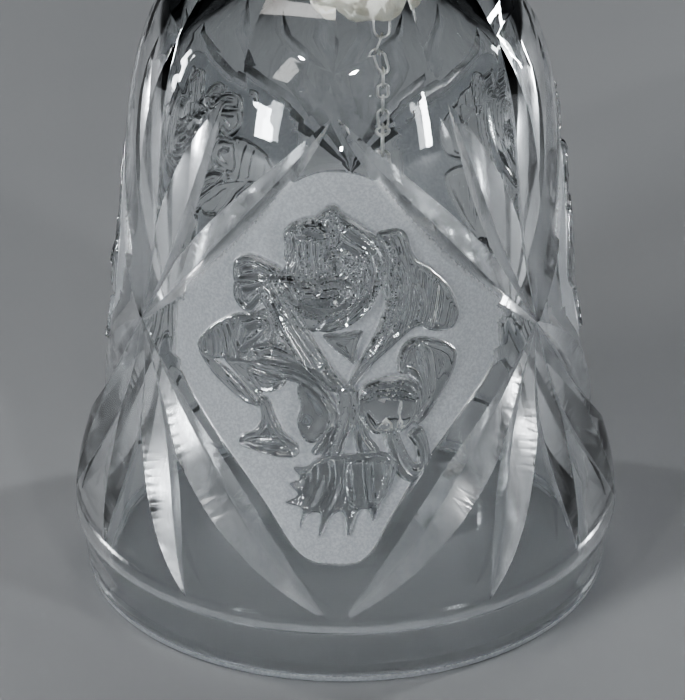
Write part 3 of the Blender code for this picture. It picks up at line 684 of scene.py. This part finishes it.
def ring_turned(name, profile, sides, place):
    """A turned ring from a closed (radius, height) loop."""
    turn = np.radians(np.arange(sides) * 360 / sides)
    points = [(r * math.sin(t), -r * math.cos(t), z) for r, z in profile for t in turn]
    rows = len(profile)
    faces = []
    for r in range(rows):
        for c in range(sides):
            n = (c + 1) % sides
            a, b = r * sides, (r + 1) % rows * sides
            faces.append([a + c, b + c, b + n, a + n])
    made = mesh_object(name, points, faces)
    made.data.transform(Matrix.Translation(Vector(place) * MM))
    made.data.set_sharp_from_angle(angle=TURNED_ANGLE)
    return made


def lumps(x, y, z):
    """A smooth uneven field from a few waves."""
    return (0.5 * np.sin(1.3 * x + 0.9 * y + 2.1) * np.cos(1.1 * z - 0.7 * y)
            + 0.3 * np.sin(2.9 * y - 1.7 * z + 0.4) * np.cos(2.3 * x + 0.8)
            + 0.2 * np.sin(5.3 * x + 4.1 * z) * np.cos(4.7 * y - 1.9))


def cement_fill():
    """The lump of cement in the top of the dome, with its wavy lower face."""
    bm = bmesh.new()
    bmesh.ops.create_icosphere(bm, subdivisions=5, radius=1.0)
    low, high = PLUG_Z
    middle, half = 0.5 * (low + high), 0.5 * (high - low)
    for vertex in bm.verts:
        x, y, z = vertex.co
        lump = 1 + 0.05 * math.sin(5 * x + 2 * z) + 0.04 * math.sin(6 * y - 3 * x + 1)
        swell = PLUG_RADIUS * lump
        vertex.co = Vector((PLUG_X + x * swell, y * swell, middle + z * half * lump))
    co = np.array([v.co for v in bm.verts])
    x, y, z = co.T
    away = np.array([v.normal for v in bm.verts])
    broad, fine = lumps(0.9 * x, 0.9 * y, 0.9 * z), lumps(3.1 * x, 3.1 * y, 3.1 * z)
    co += away * (0.28 * broad + 0.06 * fine)[:, None]
    x, y, z = co.T
    wall = curve_through(INNER_WALL, np.clip(z, 0.4, 95.4)) - FIT_GAP
    radius = np.hypot(x, y)
    shrink = np.minimum(1.0, wall / np.maximum(radius, 0.01))
    co[:, 0] *= shrink
    co[:, 1] *= shrink
    top = 95.4 - FIT_GAP
    co[:, 2] = np.minimum(co[:, 2], top)
    for vertex, spot in zip(bm.verts, co):
        vertex.co = Vector(spot) * MM
    mesh = bpy.data.meshes.new("cement_fill")
    bm.to_mesh(mesh)
    bm.free()
    mesh.shade_smooth()
    made = bpy.data.objects.new("cement_fill", mesh)
    bpy.context.scene.collection.objects.link(made)
    return made


def link_path():
    """A closed stadium whose top wire hangs just under z = 0."""
    bend = (LINK_WIDTH - LINK_WIRE) / 2
    top = LINK_WIRE + LINK_GAP - bend
    bottom = top - (LINK_LENGTH - LINK_WIDTH)
    return arc(bend, top, 0, 180, 13) + arc(bend, bottom, 180, 360, 13)


def bead_centre():
    """Height of the bead's middle, from the clapper's pivot."""
    eye_bottom = LINK_WIRE + LINK_GAP - 2 * EYE_RADIUS
    return eye_bottom - LINK_WIRE / 2 - CAP_THICK - 2 * FIT_GAP - BEAD_RADIUS


# ---------------------------------------------------------------- materials
class Shade:
    """A Principled material with short calls for its nodes."""

    def __init__(self, name, **values):
        self.material = bpy.data.materials.new(name)
        self.material.use_nodes = True
        self.nodes = self.material.node_tree.nodes
        self.links = self.material.node_tree.links
        self.shader = self.nodes["Principled BSDF"]
        for key, value in values.items():
            self.set(key, value)
        self.place = self.nodes.new("ShaderNodeTexCoord").outputs["Object"]

    def feed(self, socket, value):
        """Links a socket to an input, or sets the input to a constant."""
        if isinstance(value, bpy.types.NodeSocket):
            self.links.new(value, socket)
        else:
            socket.default_value = value

    def set(self, key, value):
        self.feed(self.shader.inputs[key.replace("_", " ")], value)

    def noise(self, scale, detail=3.0, roughness=0.55, stretch=None):
        node = self.nodes.new("ShaderNodeTexNoise")
        node.inputs["Scale"].default_value = scale
        node.inputs["Detail"].default_value = detail
        node.inputs["Roughness"].default_value = roughness
        place = self.place
        if stretch:
            mapping = self.nodes.new("ShaderNodeMapping")
            mapping.inputs["Scale"].default_value = stretch
            self.links.new(place, mapping.inputs["Vector"])
            place = mapping.outputs["Vector"]
        self.links.new(place, node.inputs["Vector"])
        return node.outputs["Fac"]

    def attribute(self, name):
        node = self.nodes.new("ShaderNodeAttribute")
        node.attribute_name = name
        return node.outputs["Fac"]

    def math(self, operation, a, b=0.0, clamp=False):
        node = self.nodes.new("ShaderNodeMath")
        node.operation = operation
        node.use_clamp = clamp
        for socket, value in zip(node.inputs, (a, b)):
            self.feed(socket, value)
        return node.outputs[0]

    def span(self, value, low, high, start=0.0, end=1.0):
        """value from start..end becomes low..high."""
        node = self.nodes.new("ShaderNodeMapRange")
        ends = (("From Min", start), ("From Max", end), ("To Min", low), ("To Max", high))
        for key, number in ends:
            node.inputs[key].default_value = number
        self.links.new(value, node.inputs["Value"])
        return node.outputs["Result"]

    def blend(self, factor, first, second):
        """A colour that goes from first to second. Each is a socket or an RGB tuple."""
        node = self.nodes.new("ShaderNodeMix")
        node.data_type = "RGBA"
        self.feed(node.inputs["Factor"], factor)
        for socket, colour in zip((node.inputs[6], node.inputs[7]), (first, second)):
            self.feed(socket, (*colour, 1.0) if isinstance(colour, tuple) else colour)
        return node.outputs[2]

    def bump(self, height, distance, strength=1.0, under=None):
        node = self.nodes.new("ShaderNodeBump")
        node.inputs["Distance"].default_value = distance
        self.feed(node.inputs["Strength"], strength)
        self.links.new(height, node.inputs["Height"])
        if under is not None:
            self.links.new(under, node.inputs["Normal"])
        return node.outputs["Normal"]


def crystal_material():
    """Clear lead crystal, ground where frost is set and streaked with haze on the cuts."""
    glass = Shade("lead_crystal", IOR=1.545)
    frost = glass.attribute("frost")
    grain = glass.noise(2600, 4.0, 0.7)
    cloud = glass.noise(160, 4.0, 0.6)
    frosted = glass.math("MULTIPLY", frost, glass.span(cloud, 0.9, 1.0), clamp=True)
    streaks = glass.span(glass.noise(420, 4.0, 0.65, stretch=(1, 1, 0.25)), 0.22, 0.56, 0.35, 0.7)
    haze = glass.math("MAXIMUM", frosted, glass.math("MULTIPLY", glass.attribute("cut"), streaks))
    polish = glass.span(glass.noise(70, 3.0), 0.006, 0.03, 0.3, 0.7)
    etched = glass.span(grain, 0.34, 0.5, 0.3, 0.7)
    clear = glass.span(haze, 1.0, 0.0)
    rough = glass.math("MULTIPLY", etched, haze)
    glass.set("Roughness", glass.math("ADD", rough, glass.math("MULTIPLY", polish, clear)))
    glass.set("Transmission Weight", glass.span(haze, 1.0, 0.68))
    speckle = glass.span(grain, 0.0, 1.0, 0.42, 0.62)
    ground = glass.blend(speckle, (0.56, 0.58, 0.61), (0.76, 0.78, 0.8))
    glass.set("Base Color", glass.blend(haze, (0.975, 0.988, 0.992), ground))
    wave = glass.bump(glass.noise(55, 2.0, 0.4), 0.0006, 0.06)
    glass.set("Normal", glass.bump(grain, 0.00006, glass.math("MULTIPLY", frosted, 0.9), wave))
    return glass.material


def cement_material():
    cement = Shade("cement_cream", IOR=1.5)
    broad = cement.noise(260, 5.0, 0.6)
    fine = cement.noise(2600, 6.0, 0.65)
    colour = cement.blend(cement.span(broad, 0, 1, 0.35, 0.65), (0.72, 0.68, 0.57), (0.9, 0.88, 0.8))
    pits = cement.span(fine, 0, 0.6, 0.55, 0.75)
    cement.set("Base Color", cement.blend(pits, colour, (0.55, 0.5, 0.4)))
    cement.set("Roughness", cement.span(fine, 0.55, 0.9, 0.3, 0.7))
    coarse = cement.bump(broad, 0.0007, 0.7)
    cement.set("Normal", cement.bump(fine, 0.00012, 0.8, coarse))
    return cement.material


def wire_material():
    tone, dark = (0.93, 0.92, 0.9), (0.6, 0.57, 0.52)
    steel = Shade("plated_wire_bright", Metallic=1.0)
    tarnish = steel.noise(900, 5.0, 0.65)
    scratch = steel.noise(2200, 3.0, 0.6, stretch=(1, 1, 6))
    steel.set("Base Color", steel.blend(steel.span(tarnish, 0, 0.75, 0.52, 0.78), tone, dark))
    steel.set("Roughness", steel.span(scratch, 0.26, 0.46, 0.35, 0.7))
    steel.set("Normal", steel.bump(scratch, 0.00002, 0.5))
    return steel.material


def bead_material():
    bead = Shade("bead_crystal_clear", IOR=1.52)
    haze = bead.noise(230, 4.0, 0.6)
    colour = bead.blend(bead.span(haze, 0, 1, 0.35, 0.65), (0.9, 0.92, 0.94), (0.97, 0.98, 0.98))
    bead.set("Base Color", colour)
    bead.set("Transmission Weight", bead.span(haze, 0.72, 0.94, 0.35, 0.65))
    bead.set("Roughness", bead.span(bead.noise(500, 3.0), 0.03, 0.1, 0.35, 0.65))
    bead.set("Normal", bead.bump(haze, 0.0002, 0.2))
    return bead.material


FLOOR_TONES = ((0.33, 0.335, 0.345), (0.37, 0.375, 0.38))


def floor_material():
    paper = Shade("pale_floor", Roughness=0.85)
    paper.set("Base Color", paper.blend(paper.noise(14, 4.0), FLOOR_TONES[0], FLOOR_TONES[1]))
    return paper.material


def dress(obj, material, body, slot, *nodes):
    """Material, body and the CAD nodes this piece stands for; the slot argument is not used."""
    obj.data.materials.clear()
    obj.data.materials.append(material)
    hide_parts(*nodes)
    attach(obj, body)
    return obj


def bead_profile(centre):
    """A round bead cut in flat bands, softened where they meet."""
    bands = np.linspace(84, -84, 9)
    return [(BEAD_RADIUS * math.cos(a), centre + BEAD_RADIUS * math.sin(a)) for a in np.radians(bands)]


def build_clapper(wire, bead_look):
    """The clapper's wire with its eye and foot, the bead on it and the dish over the bead."""
    place = (HANG_X, 0, CLAPPER_Z)
    centre = LINK_WIRE + LINK_GAP - EYE_RADIUS
    ring = arc(EYE_RADIUS, centre, -90, 270, 33)[:-1]
    eye = tube("clapper_eye", ring, LINK_WIRE / 2, True, place)
    middle = bead_centre()
    foot = middle - BEAD_RADIUS - FIT_GAP
    top = centre - EYE_RADIUS
    head = foot - HEAD_THICK
    profile = [(0.0, top), (PIN_RADIUS * 0.7, top), (PIN_RADIUS, top - 0.3), (PIN_RADIUS, foot),
               (HEAD_RADIUS * 0.9, foot), (HEAD_RADIUS, foot - 0.1), (HEAD_RADIUS, head + 0.12),
               (HEAD_RADIUS * 0.7, head), (0.0, head)]
    shaft = turned("clapper_shaft", profile, 24, place)
    combine(eye, "UNION", [shaft])
    eye.data.set_sharp_from_angle(angle=TURNED_ANGLE)
    dress(eye, wire, "clapper", "plated_wire", "clapper_pin")
    eye.name = "clapper_wire"
    outside = bead_profile(middle)
    loop = outside + [(BEAD_BORE, outside[-1][1]), (BEAD_BORE, outside[0][1])]
    bead = ring_turned("clapper_ball", loop, 12, place)
    dress(bead, bead_look, "clapper", "bead_crystal", "clapper_bead")
    inner = BEAD_RADIUS + FIT_GAP
    outer = inner + CAP_THICK
    bend = np.linspace(math.asin(BEAD_BORE / outer), math.asin(CAP_RADIUS / outer), 10)
    dish = [(outer * math.sin(a), middle + outer * math.cos(a)) for a in bend]
    under = [(inner * math.sin(a), middle + inner * math.cos(a)) for a in bend[::-1]]
    cap = ring_turned("clapper_dish", dish + under, 40, place)
    dress(cap, wire, "clapper", "plated_wire", "clapper_cap")


def build_chain(wire):
    """The links, each turned a quarter from the last."""
    for i in range(LINKS):
        place = (HANG_X, 0, HOOK_Z - i * LINK_PITCH)
        link = tube(f"link_loop_{i + 1:02d}", link_path(), LINK_WIRE / 2, True, place, i % 2 == 0)
        dress(link, wire, f"link_{i + 1:02d}", "plated_wire", f"chain_link_{i + 1:02d}")


def build_hook(wire):
    """The staple, whose two legs stand in the cement."""
    bend = arc(HOOK_HALF_WIDTH, HOOK_Z + HOOK_HALF_WIDTH, 180, 360, 21)
    legs = np.linspace(HOOK_TOP, HOOK_Z + HOOK_HALF_WIDTH + 0.6, 6)
    path = [(-HOOK_HALF_WIDTH, 0.0, z) for z in legs] + bend
    path += [(HOOK_HALF_WIDTH, 0.0, z) for z in legs[::-1]]
    hook = tube("hook_wire", path, HOOK_WIRE / 2, False, (HANG_X, 0, 0))
    dress(hook, wire, "bell", "plated_wire", "hanger_staple")


# ---------------------------------------------------------------- stage
CAMERA_AZ = 2.3
CAMERA_EL = 29.0
CAMERA_ROLL = -0.48
CAMERA_FAR = 1200.0
VIEW_HEIGHT = 97.6  # millimetres from the top to the bottom of the frame, at the bell's axis
TARGET = (-0.26, 32.44)  # along the camera's right, height
WORLD_TONE = (0.62, 0.66, 0.72)
WORLD_LIGHT = 0.02
LIGHTS_AIM = (0, 0, 0.05)
COOL = (0.95, 0.98, 1.0)
# (name, place in metres, size in metres, watts, colour)
LIGHTS = (
    ("key", (-0.42, -0.35, 0.75), (0.2, 0.2), 0.7, (1.0, 0.98, 0.95)),
    ("top", (0.05, 0.3, 0.8), (0.3, 0.16), 0.7, (1, 1, 1)),
    ("front_left", (-0.5, -0.6, 0.2), (0.14, 0.22), 3.2, (0.93, 0.97, 1.0)),
    ("front_right", (0.55, -0.5, 0.16), (0.05, 0.25), 1.8, COOL),
    ("spark_right", (0.2, -0.6, 0.45), (0.02, 0.02), 0.4, (1, 1, 1)),
    ("spark_left", (-0.25, -0.55, 0.5), (0.02, 0.02), 0.4, (1, 1, 1)),
    ("spark_low", (0.02, -0.7, 0.1), (0.02, 0.02), 0.3, (1, 1, 1)),
    ("rim_right", (0.6, 0.35, 0.14), (0.05, 0.35), 2.8, COOL),
    ("rim_left", (-0.65, 0.25, 0.12), (0.05, 0.35), 2.6, (0.97, 0.98, 1.0)),
)


def build_camera():
    az, el = math.radians(CAMERA_AZ), math.radians(CAMERA_EL)
    back = Vector((math.sin(az) * math.cos(el), -math.cos(az) * math.cos(el), math.sin(el)))
    right = Vector((math.cos(az), math.sin(az), 0))
    target = right * TARGET[0] + Vector((0, 0, TARGET[1]))
    data = bpy.data.cameras.new("camera")
    data.sensor_width = 36.0
    data.lens = data.sensor_width * CAMERA_FAR / VIEW_HEIGHT
    data.clip_start = 0.01
    data.clip_end = 50.0
    camera = bpy.data.objects.new("camera", data)
    roll = Matrix.Rotation(math.radians(CAMERA_ROLL), 4, "Z")
    turn = back.to_track_quat("Z", "Y").to_matrix().to_4x4() @ roll
    camera.matrix_world = Matrix.Translation((target + back * CAMERA_FAR) * MM) @ turn
    bpy.context.scene.collection.objects.link(camera)
    bpy.context.scene.camera = camera


def area_light(name, spot, size, power, colour):
    data = bpy.data.lights.new(name, "AREA")
    data.shape = "RECTANGLE"
    data.size, data.size_y = size
    data.energy = power
    data.color = colour
    light = bpy.data.objects.new(name, data)
    way = Vector(spot) - Vector(LIGHTS_AIM)
    light.matrix_world = Matrix.Translation(spot) @ way.to_track_quat("Z", "Y").to_matrix().to_4x4()
    bpy.context.scene.collection.objects.link(light)


def build_floor():
    bm = bmesh.new()
    bmesh.ops.create_grid(bm, x_segments=8, y_segments=8, size=3.0)
    mesh = bpy.data.meshes.new("floor")
    bm.to_mesh(mesh)
    bm.free()
    floor = bpy.data.objects.new("floor", mesh)
    floor.location.z = -0.0002
    bpy.context.scene.collection.objects.link(floor)
    mesh.materials.append(floor_material())


def build_stage():
    build_floor()
    world = bpy.data.worlds.new("studio")
    bpy.context.scene.world = world
    world.use_nodes = True
    sky = world.node_tree.nodes["Background"]
    sky.inputs["Color"].default_value = (*WORLD_TONE, 1.0)
    sky.inputs["Strength"].default_value = WORLD_LIGHT
    for light in LIGHTS:
        area_light(*light)
    bpy.context.scene.view_settings.view_transform = "AgX"
    bpy.context.scene.view_settings.look = "AgX - Very High Contrast"


def main():
    build_camera()
    glass = bell_crystal()
    shade_crystal(glass)
    mark_cuts(glass)
    wire = wire_material()
    dress(glass, crystal_material(), "bell", "crystal", "glass_bell")
    dress(cement_fill(), cement_material(), "bell", "cement", "cement_plug")
    build_hook(wire)
    build_chain(wire)
    build_clapper(wire, bead_material())
    build_stage()


main()
